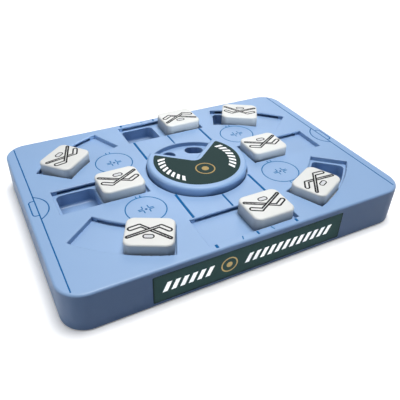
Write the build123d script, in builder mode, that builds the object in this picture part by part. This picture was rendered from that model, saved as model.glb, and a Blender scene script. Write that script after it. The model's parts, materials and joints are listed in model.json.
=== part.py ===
from build123d import *
import math
import os

# Dog puzzle feeder: a rink-shaped board with eight sliding blocks and a turning wheel, all of them
# covers over treat pockets. Millimetres, +X to the right, +Y to the back, +Z up. The origin is on
# the floor, in the middle of the board.

# ---------------------------------------------------------------- driving dimensions
# Board
board_length = 360.0
board_width = 252.0
board_corner_radius = 23.5
deck_height = 42.0  # floor to deck top
deck_thickness = 2.0
skirt_wall = 2.6
deck_edge_fillet = 2.5
skirt_foot_fillet = 0.8
opening_edge_fillet = 1.0

# Sliding blocks
block_length = 44.2  # along its track
block_width = 38.0  # across its track
block_proud = 10.0  # block top above the deck
block_corner_radius = 7.5
block_edge_fillet = 2.0
block_wall = 2.2
runner_thickness = 2.2
runner_fit = 0.05  # runner edge to cap wall
tab_inset = 7.0  # block end to tab end
tab_reach = 2.6  # how far a tab goes under the deck
tab_notch_gap = 0.3
post_radius = 2.5
post_spacing = 22.0

# Tracks
track_depth = 5.0  # deck top to track floor
side_gap = 0.75  # block side to straight track side
curve_side_gap = 0.8  # block side to curved track side, at the middle of the block
end_gap = 0.4  # block end to track end at its stop
side_travel = 44.8
front_travel = 50.8
corner_travel = 41.4  # along the middle of the track
side_track_to_well = 8.0  # wheel well edge to the side tracks' inner ends
front_track_to_edge = 8.25  # board edge to the front and back tracks
corner_track_gap = 15.0  # side track edge to the corner tracks' inner corners
far_end_tilt = 5.5  # angle of a corner track's far end to the radius, towards the block's end
arc_centre_x = 16.3
arc_centre_y = -59.5
arc_outer_radius = 185.1
block_inset = 0.3  # block middle inside the middle of a curved track
tab_end_gap = 1.6  # tab end to slot end, with the block at its stop
collar_wall = 3.0
running_gap = 0.4  # moving pieces to deck and floor, above and below

# Treat pockets and the pans they are moulded in
pan_thickness = 2.0
pan_margin = 4.0
pocket_end_margin = 2.75  # block end to pocket end
pocket_side_margin = 2.5
pocket_corner_radius = 5.5
pocket_depth = 15.0
pocket_floor_fillet = 3.0
pocket_rim_fillet = 0.5
cup_wall = 1.6
ear_radius = 4.0
ear_reach = 8.0  # track edge to ear screw
ear_spread = 30.0  # ear screw to track middle on the front and back tracks

# Wheel
wheel_radius = 53.5
well_gap = 1.0
wheel_proud = 9.0
wheel_wall = 2.4
wheel_edge_fillet = 3.0
window_half_angle = 50.0
window_apex = 4.0  # window's sharp apex behind the wheel's middle
window_apex_radius = 4.0
window_mouth_radius = 3.2
label_rim = 7.0  # wheel edge to label edge
label_window_rim = 6.0
label_corner_radius = 2.0
label_thickness = 0.3
spindle_radius = 5.0
spindle_clearance = 0.08
hub_radius = 8.0
bearing_wall = 3.0
bearing_length = 12.0
washer_radius = 9.0
washer_thickness = 1.2
washer_gap = 0.3
wheel_pocket_count = 8
wheel_pocket_circle = 44.0  # radius of the ring of pocket middles
wheel_pocket_length = 21.0
wheel_pocket_width = 14.0
wheel_pocket_depth = 12.0
wheel_cup_wall = 1.4
wheel_pocket_fillet = 2.0

# Base, feet and screws
base_thickness = 2.0
base_gap = 0.3
foot_proud = 1.0
foot_sunk = 1.0
foot_radius = 9.0
foot_from_side = 45.0
foot_from_front = 26.0
boss_radius = 4.0
boss_from_edge = 10.0
side_boss_y = 34.0
corner_boss_from_side = 19.0
corner_boss_from_front = 19.0
front_boss_x = 62.0
base_screw_radius = 1.5
base_screw_length = 12.0
base_head_radius = 2.9
base_head_height = 1.4
pan_screw_radius = 1.1
pan_screw_length = 5.0
pan_head_radius = 2.3
pan_head_height = 1.5
wheel_screw_radius = 1.7
wheel_screw_length = 12.0
wheel_head_radius = 3.4
wheel_head_height = 2.2
screw_clearance = 0.05
socket_share = 0.5  # depth of a drive recess in its head
drive_radius_share = 0.45

# Front label
front_label_length = 202.5
front_label_height = 31.2
front_label_x = -4.0
front_label_drop = 6.6  # deck top to label top
front_label_thickness = 0.4
front_label_corner = 1.5

# Where each block rests
rest_left = 1.9  # distance from its stop nearest the wheel
rest_right = 0.0  # distance from its stop nearest the wheel
rest_front = 2.3  # distance from its right stop
rest_back = 1.1  # distance from its right stop
rest_back_left = 0.0  # corner blocks: share of the travel from the side end
rest_front_left = 1.0
rest_front_right = 1.0
rest_back_right = 0.68

# ---------------------------------------------------------------- worked-out sizes
half_length = board_length / 2
half_width = board_width / 2
floor_z = deck_height - track_depth
under_deck_z = deck_height - deck_thickness
pan_bottom_z = floor_z - pan_thickness
block_bottom_z = floor_z + running_gap
block_top_z = deck_height + block_proud
skirt_bottom_z = foot_proud
base_top_z = skirt_bottom_z + base_thickness
well_radius = wheel_radius + well_gap
wheel_top_z = deck_height + wheel_proud
track_half_width = block_width / 2 + side_gap
tab_length = block_length - 2 * tab_inset
slot_inset = end_gap + tab_inset - tab_end_gap  # track end to slot end

side_track_length = block_length + side_travel + 2 * end_gap
front_track_length = block_length + front_travel + 2 * end_gap
side_track_middle = well_radius + side_track_to_well + side_track_length / 2
side_stop = well_radius + side_track_to_well + end_gap + block_length / 2  # block middle at its stop
front_stop = front_track_length / 2 - end_gap - block_length / 2
front_track_middle = half_width - front_track_to_edge - track_half_width

curve_half_width = block_width / 2 + curve_side_gap
arc_radius = arc_outer_radius - curve_half_width
block_arc_radius = arc_radius - block_inset
arc_inner_radius = arc_radius - curve_half_width
block_round_x = block_length / 2 - block_corner_radius  # middle of a block's rounded corner
inner_round_y = block_arc_radius - block_width / 2 + block_corner_radius
outer_round_y = block_arc_radius + block_width / 2 - block_corner_radius


def half_angle(round_y, tilt):
    """Angle from a block's middle to a track end that one of its rounded corners stops against."""
    reach = math.hypot(block_round_x, round_y)
    lean = arc_radius * math.sin(math.radians(tilt))
    past_corner = math.degrees(math.asin((block_corner_radius + end_gap - lean) / reach))
    return math.degrees(math.atan2(block_round_x, round_y)) + tilt + past_corner


block_half_angle = half_angle(inner_round_y, 0)
far_half_angle = max(half_angle(inner_round_y, far_end_tilt), half_angle(outer_round_y, far_end_tilt))
travel_angle = math.degrees(corner_travel / block_arc_radius)
arc_start = math.degrees(
    math.asin((track_half_width + corner_track_gap - arc_centre_y) / arc_inner_radius)
)
arc_end = arc_start + block_half_angle + travel_angle + far_half_angle

# Corner blocks of the board: the sign of x and y, and the share of travel where the block rests
corners = {
    "back_left": (-1, 1, rest_back_left),
    "front_left": (-1, -1, rest_front_left),
    "front_right": (1, -1, rest_front_right),
    "back_right": (1, 1, rest_back_right),
}
# Whether a corner track's pocket is at its side end or at its far end
corner_pocket_at_side_end = {
    "back_left": True,
    "front_left": False,
    "front_right": True,
    "back_right": False,
}
# Straight tracks: middle, length and block middle; every pocket but the front one is at the low X end
straights = {
    "left": ((-side_track_middle, 0), side_track_length, -side_stop - rest_left),
    "right": ((side_track_middle, 0), side_track_length, side_stop + rest_right),
    "front": ((0, -front_track_middle), front_track_length, front_stop - rest_front),
    "back": ((0, front_track_middle), front_track_length, front_stop - rest_back),
}
straight_pocket_side = {"left": -1, "right": -1, "front": 1, "back": -1}
places = list(straights) + list(corners)

os.makedirs("parts", exist_ok=True)


def degrees_along(length):
    """Angle that a length covers along the middle of a corner track."""
    return math.degrees(length / arc_radius)


def sector(signs, inner, outer, start, end, tilt):
    """Ring sector of a corner track; its end may be tilted from the radius."""

    def at(radius, angle):
        x = arc_centre_x + radius * math.cos(math.radians(angle))
        y = arc_centre_y + radius * math.sin(math.radians(angle))
        return (signs[0] * x, signs[1] * y)

    def end_angle(radius):
        lean = math.asin(arc_radius * math.sin(math.radians(tilt)) / radius)
        return end - tilt + math.degrees(lean)

    middle = (start + end) / 2
    inner_end = at(inner, end_angle(inner))
    outer_end = at(outer, end_angle(outer))
    with BuildSketch() as face:
        with BuildLine():
            ThreePointArc(at(inner, start), at(inner, middle), inner_end)
            Line(inner_end, outer_end)
            ThreePointArc(outer_end, at(outer, middle), at(outer, start))
            Line(at(outer, start), at(inner, start))
        make_face()
    return face.sketch


def track_face(place, grow=0.0):
    """Outline of a track's opening, grown all round by a margin."""
    if place in straights:
        (x, y), length, _ = straights[place]
        with BuildSketch() as face:
            with Locations((x, y)):
                Rectangle(length + 2 * grow, 2 * (track_half_width + grow))
        return face.sketch
    reach = curve_half_width + grow
    return sector(
        corners[place],
        arc_radius - reach,
        arc_radius + reach,
        arc_start - degrees_along(grow),
        arc_end + degrees_along(grow),
        far_end_tilt,
    )


def slot_face(place):
    """The stretch of a track, between its ends, where the sides are open under the deck."""
    reach = collar_wall + 1
    if place in straights:
        (x, y), length, _ = straights[place]
        with BuildSketch() as face:
            with Locations((x, y)):
                Rectangle(length - 2 * slot_inset, 2 * (track_half_width + reach))
        return face.sketch
    return sector(
        corners[place],
        arc_radius - curve_half_width - reach,
        arc_radius + curve_half_width + reach,
        arc_start + degrees_along(slot_inset),
        arc_end - degrees_along(slot_inset),
        far_end_tilt,
    )


def pocket_face(place, grow=0.0):
    """Outline of a track's treat pocket, which its block covers at one end of the travel."""
    length = block_length - 2 * pocket_end_margin
    near_end = end_gap + pocket_end_margin
    if place in straights:
        (x, y), track_length, _ = straights[place]
        side = straight_pocket_side[place]
        middle = x + side * (track_length / 2 - near_end - length / 2)
        across = 2 * (track_half_width - pocket_side_margin)
        with BuildSketch() as face:
            with Locations((middle, y)):
                Rectangle(length + 2 * grow, across + 2 * grow)
            fillet(face.vertices(), pocket_corner_radius + grow)
        return face.sketch
    if corner_pocket_at_side_end[place]:
        low = arc_start + degrees_along(near_end)
        high = low + degrees_along(length)
        tilt = 0
    else:
        high = arc_end - degrees_along(near_end)
        low = high - degrees_along(length)
        tilt = far_end_tilt
    reach = curve_half_width - pocket_side_margin + grow
    with BuildSketch() as face:
        add(
            sector(
                corners[place],
                arc_radius - reach,
                arc_radius + reach,
                low - degrees_along(grow),
                high + degrees_along(grow),
                tilt,
            )
        )
        fillet(face.vertices(), pocket_corner_radius + grow)
    return face.sketch


def corner_point(place, radius, angle):
    """Point on a corner track, from its arc's radius and angle."""
    sign_x, sign_y, _ = corners[place]
    x = arc_centre_x + radius * math.cos(math.radians(angle))
    y = arc_centre_y + radius * math.sin(math.radians(angle))
    return (sign_x * x, sign_y * y)


def ear_points(place):
    """Screw points of a pan's two ears, and the point on the track that each ear grows from."""
    reach = track_half_width + ear_reach
    if place in ("left", "right"):
        x = straights[place][0][0]
        return [((x, side * reach), (x, 0)) for side in (-1, 1)]
    if place in ("front", "back"):
        y = straights[place][0][1]
        inward = -1 if place == "back" else 1
        return [((side * ear_spread, y + inward * reach), (side * ear_spread, y)) for side in (-1, 1)]
    middle = (arc_start + arc_end) / 2
    reach = curve_half_width + ear_reach
    root = corner_point(place, arc_radius, middle)
    return [(corner_point(place, arc_radius + side * reach, middle), root) for side in (-1, 1)]


def block_plane(place):
    """Plane on the floor, under the middle of a block, with its X along the track."""
    if place in straights:
        (_, y), _, x = straights[place]
        return Plane(origin=(x, y, 0), x_dir=(1, 0, 0), z_dir=(0, 0, 1))
    share = corners[place][2]
    angle = arc_start + block_half_angle + share * travel_angle
    x, y = corner_point(place, block_arc_radius, angle)
    sign_x, sign_y, _ = corners[place]
    along = (-sign_x * math.sin(math.radians(angle)), sign_y * math.cos(math.radians(angle)), 0)
    if along[0] < 0:
        along = (-along[0], -along[1], 0)
    return Plane(origin=(x, y, 0), x_dir=along, z_dir=(0, 0, 1))


def ear_slot(root, tip):
    """Round-ended arm from a pan out to its screw."""
    with BuildSketch() as face:
        SlotCenterToCenter(math.dist(root, tip), 2 * ear_radius)
    turn = math.degrees(math.atan2(tip[1] - root[1], tip[0] - root[0]))
    middle = ((root[0] + tip[0]) / 2, (root[1] + tip[1]) / 2)
    return Pos(middle[0], middle[1]) * Rot(0, 0, turn) * face.sketch


pan_ears = {place: ear_points(place) for place in places}
wheel_ear_reach = well_radius + ear_reach
wheel_ears = [
    (
        (
            wheel_ear_reach * math.cos(math.radians(angle)),
            wheel_ear_reach * math.sin(math.radians(angle)),
        ),
        (0, 0),
    )
    for angle in (45, 135, 225, 315)
]
ear_screws = [tip for ears in pan_ears.values() for tip, _ in ears] + [tip for tip, _ in wheel_ears]

corner_boss = (half_length - corner_boss_from_side, half_width - corner_boss_from_front)
boss_points = [(sx * corner_boss[0], sy * corner_boss[1]) for sx in (-1, 1) for sy in (-1, 1)]
boss_points += [
    (sx * front_boss_x, sy * (half_width - boss_from_edge)) for sx in (-1, 1) for sy in (-1, 1)
]
boss_points += [
    (sx * (half_length - boss_from_edge), sy * side_boss_y) for sx in (-1, 1) for sy in (-1, 1)
]
foot_points = {
    "front_left": (-half_length + foot_from_side, -half_width + foot_from_front),
    "front_right": (half_length - foot_from_side, -half_width + foot_from_front),
    "back_left": (-half_length + foot_from_side, half_width - foot_from_front),
    "back_right": (half_length - foot_from_side, half_width - foot_from_front),
}

# ---------------------------------------------------------------- top shell
# Deck and skirt in one moulding. Each track is an opening with a collar at both ends; between the
# collars the sides are open under the deck, and the blocks' tabs run there.
with BuildPart() as top_shell:
    with BuildSketch(Plane.XY.offset(skirt_bottom_z)):
        RectangleRounded(board_length, board_width, board_corner_radius)
    extrude(amount=deck_height - skirt_bottom_z)
    fillet(top_shell.faces().sort_by(Axis.Z)[-1].edges(), deck_edge_fillet)
    fillet(top_shell.faces().sort_by(Axis.Z)[0].edges(), skirt_foot_fillet)
    with BuildSketch(Plane.XY.offset(skirt_bottom_z)):
        RectangleRounded(
            board_length - 2 * skirt_wall,
            board_width - 2 * skirt_wall,
            board_corner_radius - skirt_wall,
        )
    extrude(amount=under_deck_z - skirt_bottom_z, mode=Mode.SUBTRACT)

    # Collars down to the pans, round the well and at the ends of the tracks
    with BuildSketch(Plane.XY.offset(floor_z)):
        for place in places:
            add(track_face(place, collar_wall))
            add(slot_face(place), mode=Mode.SUBTRACT)
        Circle(well_radius + collar_wall)
        with Locations(ear_screws):
            Circle(pan_head_radius + 1)
    extrude(amount=under_deck_z - floor_z)

    # Posts down to the base
    with BuildSketch(Plane.XY.offset(base_top_z)):
        with Locations(boss_points):
            Circle(boss_radius)
    extrude(amount=under_deck_z - base_top_z)

    # Openings, and the screws' pilot holes
    with BuildSketch(Plane.XY.offset(floor_z)):
        for place in places:
            add(track_face(place))
        Circle(well_radius)
    extrude(amount=track_depth, mode=Mode.SUBTRACT)
    openings = top_shell.faces().filter_by(Plane.XY).sort_by(Axis.Z)[-1].inner_wires().edges()
    fillet(openings, opening_edge_fillet)
    with BuildSketch(Plane.XY.offset(pan_bottom_z)):
        with Locations(ear_screws):
            Circle(pan_screw_radius + screw_clearance)
    extrude(amount=pan_screw_length + screw_clearance, mode=Mode.SUBTRACT)
    with BuildSketch(Plane.XY.offset(base_top_z)):
        with Locations(boss_points):
            Circle(base_screw_radius + screw_clearance)
    extrude(amount=base_screw_length, mode=Mode.SUBTRACT)

    # Shallow seat for the front label
    label_middle = (front_label_x, deck_height - front_label_drop - front_label_height / 2)
    with BuildSketch(Plane.XZ.offset(half_width - front_label_thickness)):
        with Locations(label_middle):
            RectangleRounded(front_label_length, front_label_height, front_label_corner)
    extrude(amount=2 * front_label_thickness, mode=Mode.SUBTRACT)
top_shell.part.label = "top_shell"
export_step(top_shell.part, "parts/top_shell.step")

with BuildPart() as front_label:
    with BuildSketch(Plane.XZ.offset(half_width - front_label_thickness)):
        with Locations(label_middle):
            RectangleRounded(front_label_length, front_label_height, front_label_corner)
    extrude(amount=front_label_thickness)
front_label.part.label = "front_label"
export_step(front_label.part, "parts/front_label.step")

# ---------------------------------------------------------------- track pans with treat pockets
for place in places:
    with BuildPart() as pan:
        with BuildSketch(Plane.XY.offset(pan_bottom_z)):
            add(track_face(place, pan_margin))
            for tip, root in pan_ears[place]:
                add(ear_slot(root, tip))
            with Locations([tip for tip, _ in pan_ears[place]]):
                Circle(pan_screw_radius + screw_clearance, mode=Mode.SUBTRACT)
        extrude(amount=pan_thickness)
        with BuildSketch(Plane.XY.offset(floor_z - pocket_depth - cup_wall)):
            add(pocket_face(place, cup_wall))
        extrude(amount=pocket_depth + cup_wall - pan_thickness)
        fillet(pan.faces().sort_by(Axis.Z)[0].edges(), pocket_floor_fillet)
        with BuildSketch(Plane.XY.offset(floor_z - pocket_depth)):
            add(pocket_face(place))
        extrude(amount=pocket_depth, mode=Mode.SUBTRACT)
        pocket_floor = pan.faces(Select.LAST).filter_by(Plane.XY).sort_by(Axis.Z)[0]
        fillet(pocket_floor.edges(), pocket_floor_fillet)
        pocket_rim = pan.faces().filter_by(Plane.XY).sort_by(Axis.Z)[-1].inner_wires()
        fillet(pocket_rim.sort_by(SortBy.LENGTH)[-1].edges(), pocket_rim_fillet)
    pan.part.label = "treat_pan_" + place
    export_step(pan.part, "parts/treat_pan_" + place + ".step")

# ---------------------------------------------------------------- sliding blocks
# A hollow cap stands on a runner, whose two tabs pass through notches in the cap and run under
# the deck's edges, so the block can't be lifted out.
for place in places:
    base = block_plane(place)
    cap_inner = (block_length - 2 * block_wall, block_width - 2 * block_wall)
    inner_corner = block_corner_radius - block_wall
    with BuildPart() as cap:
        with BuildSketch(base.offset(block_bottom_z)):
            RectangleRounded(block_length, block_width, block_corner_radius)
        extrude(amount=block_top_z - block_bottom_z)
        fillet(cap.faces().sort_by(Axis.Z)[-1].edges(), block_edge_fillet)
        with BuildSketch(base.offset(block_bottom_z)):
            RectangleRounded(cap_inner[0], cap_inner[1], inner_corner)
        extrude(amount=block_top_z - block_bottom_z - block_wall, mode=Mode.SUBTRACT)
        with BuildSketch(base.offset(block_bottom_z)):
            Rectangle(tab_length + 2 * tab_notch_gap, block_width + 1)
        extrude(amount=runner_thickness + tab_notch_gap, mode=Mode.SUBTRACT)
    cap.part.label = "block_cap_" + place
    export_step(cap.part, "parts/block_cap_" + place + ".step")

    with BuildPart() as runner:
        with BuildSketch(base.offset(block_bottom_z)):
            RectangleRounded(
                cap_inner[0] - 2 * runner_fit,
                cap_inner[1] - 2 * runner_fit,
                inner_corner - runner_fit,
            )
            Rectangle(tab_length, block_width + 2 * tab_reach)
        extrude(amount=runner_thickness)
        with BuildSketch(base.offset(block_bottom_z + runner_thickness)):
            with GridLocations(post_spacing, 0, 2, 1):
                Circle(post_radius)
        extrude(amount=block_top_z - block_wall - block_bottom_z - runner_thickness)
    runner.part.label = "block_runner_" + place
    export_step(runner.part, "parts/block_runner_" + place + ".step")

# ---------------------------------------------------------------- wheel
window_slope = math.tan(math.radians(90 - window_half_angle))
window_reach = 2 * wheel_radius


def window_face(apex, apex_radius):
    """Open wedge towards the back, wider than the wheel, with a rounded apex."""
    with BuildSketch() as face:
        with BuildLine():
            Polyline(
                (0, apex),
                (window_reach, apex + window_reach * window_slope),
                (-window_reach, apex + window_reach * window_slope),
                close=True,
            )
        make_face()
        fillet(face.vertices().sort_by(Axis.Y)[0], apex_radius)
    return face.sketch


label_apex = window_apex - label_window_rim / math.sin(math.radians(window_half_angle))
with BuildPart() as wheel_disc:
    with BuildSketch(Plane.XY.offset(block_bottom_z)) as wheel_plan:
        Circle(wheel_radius)
        add(window_face(window_apex, window_apex_radius), mode=Mode.SUBTRACT)
        fillet(wheel_plan.vertices().group_by(Axis.Y)[-1], window_mouth_radius)
    extrude(amount=wheel_top_z - block_bottom_z)
    fillet(wheel_disc.faces().sort_by(Axis.Z)[-1].edges(), wheel_edge_fillet)
    with BuildSketch(Plane.XY.offset(block_bottom_z)):
        add(wheel_plan.sketch.faces()[0].moved(Location((0, 0, -block_bottom_z))))
        offset(amount=-wheel_wall, mode=Mode.REPLACE)
    extrude(amount=wheel_top_z - block_bottom_z - wheel_wall, mode=Mode.SUBTRACT)
    with BuildSketch(Plane.XY.offset(block_bottom_z)):
        Circle(hub_radius)
    extrude(amount=wheel_top_z - block_bottom_z - wheel_wall / 2)
    spindle_end_z = floor_z - bearing_length - washer_gap
    with BuildSketch(Plane.XY.offset(spindle_end_z)):
        Circle(spindle_radius)
    extrude(amount=wheel_top_z - wheel_wall / 2 - spindle_end_z)
    with BuildSketch(Plane.XY.offset(spindle_end_z)):
        Circle(wheel_screw_radius + screw_clearance)
    extrude(amount=wheel_screw_length, mode=Mode.SUBTRACT)
    with BuildSketch(Plane.XY.offset(block_bottom_z)):
        add(window_face(window_apex, window_apex_radius))
    extrude(amount=wheel_top_z - block_bottom_z, mode=Mode.SUBTRACT)
wheel_disc.part.label = "wheel_disc"
export_step(wheel_disc.part, "parts/wheel_disc.step")

with BuildPart() as wheel_label:
    with BuildSketch(Plane.XY.offset(wheel_top_z)) as label_plan:
        Circle(wheel_radius - label_rim)
        add(window_face(label_apex, window_apex_radius + label_window_rim), mode=Mode.SUBTRACT)
        fillet(label_plan.vertices().group_by(Axis.Y)[-1], label_corner_radius)
    extrude(amount=label_thickness)
wheel_label.part.label = "wheel_label"
export_step(wheel_label.part, "parts/wheel_label.step")

# ---------------------------------------------------------------- wheel pan
with BuildPart() as wheel_pan:
    with BuildSketch(Plane.XY.offset(pan_bottom_z)):
        Circle(well_radius + collar_wall)
        for tip, root in wheel_ears:
            add(ear_slot(root, tip))
        with Locations([tip for tip, _ in wheel_ears]):
            Circle(pan_screw_radius + screw_clearance, mode=Mode.SUBTRACT)
    extrude(amount=pan_thickness)
    first_pocket = 180 / wheel_pocket_count
    with BuildSketch(Plane.XY.offset(floor_z - wheel_pocket_depth - wheel_cup_wall)):
        with PolarLocations(wheel_pocket_circle, wheel_pocket_count, start_angle=first_pocket):
            SlotOverall(
                wheel_pocket_length + 2 * wheel_cup_wall,
                wheel_pocket_width + 2 * wheel_cup_wall,
                rotation=90,
            )
    extrude(amount=wheel_pocket_depth + wheel_cup_wall - pan_thickness)
    with BuildSketch(Plane.XY.offset(floor_z - wheel_pocket_depth)):
        with PolarLocations(wheel_pocket_circle, wheel_pocket_count, start_angle=first_pocket):
            SlotOverall(wheel_pocket_length, wheel_pocket_width, rotation=90)
    extrude(amount=wheel_pocket_depth, mode=Mode.SUBTRACT)
    pocket_floors = wheel_pan.faces(Select.LAST).filter_by(Plane.XY).group_by(Axis.Z)[0]
    fillet(pocket_floors.edges(), wheel_pocket_fillet)
    pocket_rims = wheel_pan.faces().filter_by(Plane.XY).sort_by(Axis.Z)[-1].inner_wires()
    fillet(pocket_rims.sort_by(SortBy.LENGTH)[-wheel_pocket_count:].edges(), pocket_rim_fillet)
    with BuildSketch(Plane.XY.offset(floor_z - bearing_length)):
        Circle(spindle_radius + bearing_wall)
    extrude(amount=bearing_length)
    with BuildSketch(Plane.XY.offset(floor_z - bearing_length)):
        Circle(spindle_radius + spindle_clearance)
    extrude(amount=bearing_length, mode=Mode.SUBTRACT)
wheel_pan.part.label = "wheel_pan"
export_step(wheel_pan.part, "parts/wheel_pan.step")

with BuildPart() as wheel_washer:
    with BuildSketch(Plane.XY.offset(spindle_end_z - washer_thickness)):
        Circle(washer_radius)
        Circle(wheel_screw_radius + screw_clearance, mode=Mode.SUBTRACT)
    extrude(amount=washer_thickness)
wheel_washer.part.label = "wheel_washer"
export_step(wheel_washer.part, "parts/wheel_washer.step")

with BuildPart() as wheel_screw:
    with BuildSketch(Plane.XY.offset(spindle_end_z - washer_thickness - wheel_head_height)):
        Circle(wheel_head_radius)
    extrude(amount=wheel_head_height)
    with BuildSketch(Plane.XY.offset(spindle_end_z - washer_thickness)):
        Circle(wheel_screw_radius)
    extrude(amount=wheel_screw_length)
    with BuildSketch(Plane.XY.offset(spindle_end_z - washer_thickness - wheel_head_height)):
        RegularPolygon(wheel_head_radius * drive_radius_share, 6)
    extrude(amount=wheel_head_height * socket_share, mode=Mode.SUBTRACT)
wheel_screw.part.label = "wheel_screw"
export_step(wheel_screw.part, "parts/wheel_screw.step")

# ---------------------------------------------------------------- base plate, feet and screws
with BuildPart() as base_plate:
    with BuildSketch(Plane.XY.offset(skirt_bottom_z)):
        RectangleRounded(
            board_length - 2 * skirt_wall - 2 * base_gap,
            board_width - 2 * skirt_wall - 2 * base_gap,
            board_corner_radius - skirt_wall - base_gap,
        )
    extrude(amount=base_thickness)
    with BuildSketch(Plane.XY.offset(skirt_bottom_z)):
        with Locations(boss_points):
            Circle(base_screw_radius + screw_clearance)
    extrude(amount=base_thickness, mode=Mode.SUBTRACT)
    with BuildSketch(Plane.XY.offset(skirt_bottom_z)):
        with Locations(boss_points):
            Circle(base_head_radius + screw_clearance)
    extrude(amount=base_head_height, mode=Mode.SUBTRACT)
    with BuildSketch(Plane.XY.offset(skirt_bottom_z)):
        with Locations(list(foot_points.values())):
            Circle(foot_radius)
    extrude(amount=foot_sunk, mode=Mode.SUBTRACT)
base_plate.part.label = "base_plate"
export_step(base_plate.part, "parts/base_plate.step")

for corner, point in foot_points.items():
    with BuildPart() as foot:
        with BuildSketch(Plane.XY):
            with Locations(point):
                Circle(foot_radius)
        extrude(amount=foot_proud + foot_sunk)
        fillet(foot.faces().sort_by(Axis.Z)[0].edges(), foot_proud / 2)
    foot.part.label = "rubber_foot_" + corner
    export_step(foot.part, "parts/rubber_foot_" + corner + ".step")


def screw_group(points, head_bottom_z, head_radius, head_height, shank_radius, shank_length):
    """Upright screws with their heads below, at a list of points."""
    with BuildPart() as group:
        with BuildSketch(Plane.XY.offset(head_bottom_z)):
            with Locations(points):
                Circle(head_radius)
        extrude(amount=head_height)
        with BuildSketch(Plane.XY.offset(head_bottom_z + head_height)):
            with Locations(points):
                Circle(shank_radius)
        extrude(amount=shank_length)
        with BuildSketch(Plane.XY.offset(head_bottom_z)):
            with Locations(points):
                RegularPolygon(head_radius * drive_radius_share, 6)
        extrude(amount=head_height * socket_share, mode=Mode.SUBTRACT)
    return group.part


base_screws = screw_group(
    boss_points,
    skirt_bottom_z,
    base_head_radius,
    base_head_height,
    base_screw_radius,
    base_screw_length - base_thickness,
)
base_screws.label = "base_screws"
export_step(base_screws, "parts/base_screws.step")

pan_screws = screw_group(
    ear_screws,
    pan_bottom_z - pan_head_height,
    pan_head_radius,
    pan_head_height,
    pan_screw_radius,
    pan_screw_length,
)
pan_screws.label = "pan_screws"
export_step(pan_screws, "parts/pan_screws.step")
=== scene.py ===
# %% [markdown]
# # A treat puzzle board for dogs, finished on its CAD frame
#
# The board is a shallow moulded box, printed as an ice rink, with eight sliding blocks and one
# turning wheel. Its construction comes from CAD: every piece is already at its real size and
# place, so nothing is moved here. This script gives each piece its finish, adds the printed lines,
# which have no thickness worth a CAD solid, gives the screws their real recesses and threads, and
# sets up a small studio.
#
# Everything is in metres, in the frame of the CAD model: +X to the right, +Y to the back, +Z up.

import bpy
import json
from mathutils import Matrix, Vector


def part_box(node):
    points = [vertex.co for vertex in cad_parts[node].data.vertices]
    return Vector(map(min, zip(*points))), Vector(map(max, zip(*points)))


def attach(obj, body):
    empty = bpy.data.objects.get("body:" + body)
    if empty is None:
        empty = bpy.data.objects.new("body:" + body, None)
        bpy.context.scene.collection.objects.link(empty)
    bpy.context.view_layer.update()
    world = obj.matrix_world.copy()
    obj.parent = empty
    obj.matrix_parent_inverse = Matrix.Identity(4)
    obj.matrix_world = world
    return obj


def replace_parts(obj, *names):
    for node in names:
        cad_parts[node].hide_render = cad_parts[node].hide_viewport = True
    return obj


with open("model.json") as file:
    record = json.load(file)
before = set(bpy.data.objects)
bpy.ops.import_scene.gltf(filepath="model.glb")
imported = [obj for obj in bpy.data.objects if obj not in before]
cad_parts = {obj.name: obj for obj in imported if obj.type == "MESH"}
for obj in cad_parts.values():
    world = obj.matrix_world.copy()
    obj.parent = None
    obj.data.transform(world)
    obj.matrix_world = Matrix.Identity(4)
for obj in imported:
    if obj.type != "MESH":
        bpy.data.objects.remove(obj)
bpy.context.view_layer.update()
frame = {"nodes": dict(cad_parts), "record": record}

# %% [markdown]
# ## Two helpers
#
# A colour is chosen on a screen, where its hex code is in sRGB, but Blender's shaders count light,
# which is linear, so `srgb` turns one into the other. Materials and trees of Geometry Nodes are
# built node by node: `add` adds any node with its settings, and links its inputs or sets them.
#
# A Mix node keeps a pair of inputs for each kind of value, all with the names A and B, so the pair
# for colours and the pair for plain numbers are picked by their place in the list.

# %% Imports and the two helpers
import json
import math

import bmesh
import bpy
from mathutils import Matrix, Vector

MM = 0.001
COLOUR_A, COLOUR_B, MIXED_COLOUR = 6, 7, 2
NUMBER_A, NUMBER_B, MIXED_NUMBER = 2, 3, 0


def srgb(hex_code, alpha=1.0):
    """A hex colour, as it is seen on a screen, turned to the linear values that a shader needs."""
    channels = [int(hex_code[i : i + 2], 16) / 255 for i in (1, 3, 5)]
    linear = [c / 12.92 if c <= 0.04045 else ((c + 0.055) / 1.055) ** 2.4 for c in channels]
    return (*linear, alpha)


def add(tree, kind, settings=None, inputs=None):
    """Adds one node, with its settings, and links or sets its inputs."""
    node = tree.nodes.new(kind)
    for name, value in (settings or {}).items():
        setattr(node, name, value)
    for socket, value in (inputs or {}).items():
        if isinstance(value, bpy.types.NodeSocket):
            tree.links.new(value, node.inputs[socket])
        else:
            node.inputs[socket].default_value = value
    return node


print("middle grey is", round(srgb("#808080")[0], 3), "in linear light")

# %% [markdown]
# ## Camera
#
# A product camera stands in front of the board, a little to the left, and looks down on it. It
# could be placed by three coordinates, but an angle round the board, a height angle, a small roll
# and a distance are easier to picture, because a tripod is set by them. The camera stands less
# than half a metre away, so the near corner is drawn clearly larger than the far one.

# %% The camera
VIEW_TURN = math.radians(-28.531)
VIEW_HEIGHT = math.radians(36.456)
VIEW_ROLL = math.radians(1.803)
VIEW_DISTANCE = 465.21 * MM
VIEW_TARGET = Vector((-24.63, -54.91, 42.0)) * MM
FOCAL_LENGTH = 42.77
SENSOR_WIDTH = 36.0
NEAREST_SEEN = 0.01
FARTHEST_SEEN = 50

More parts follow.
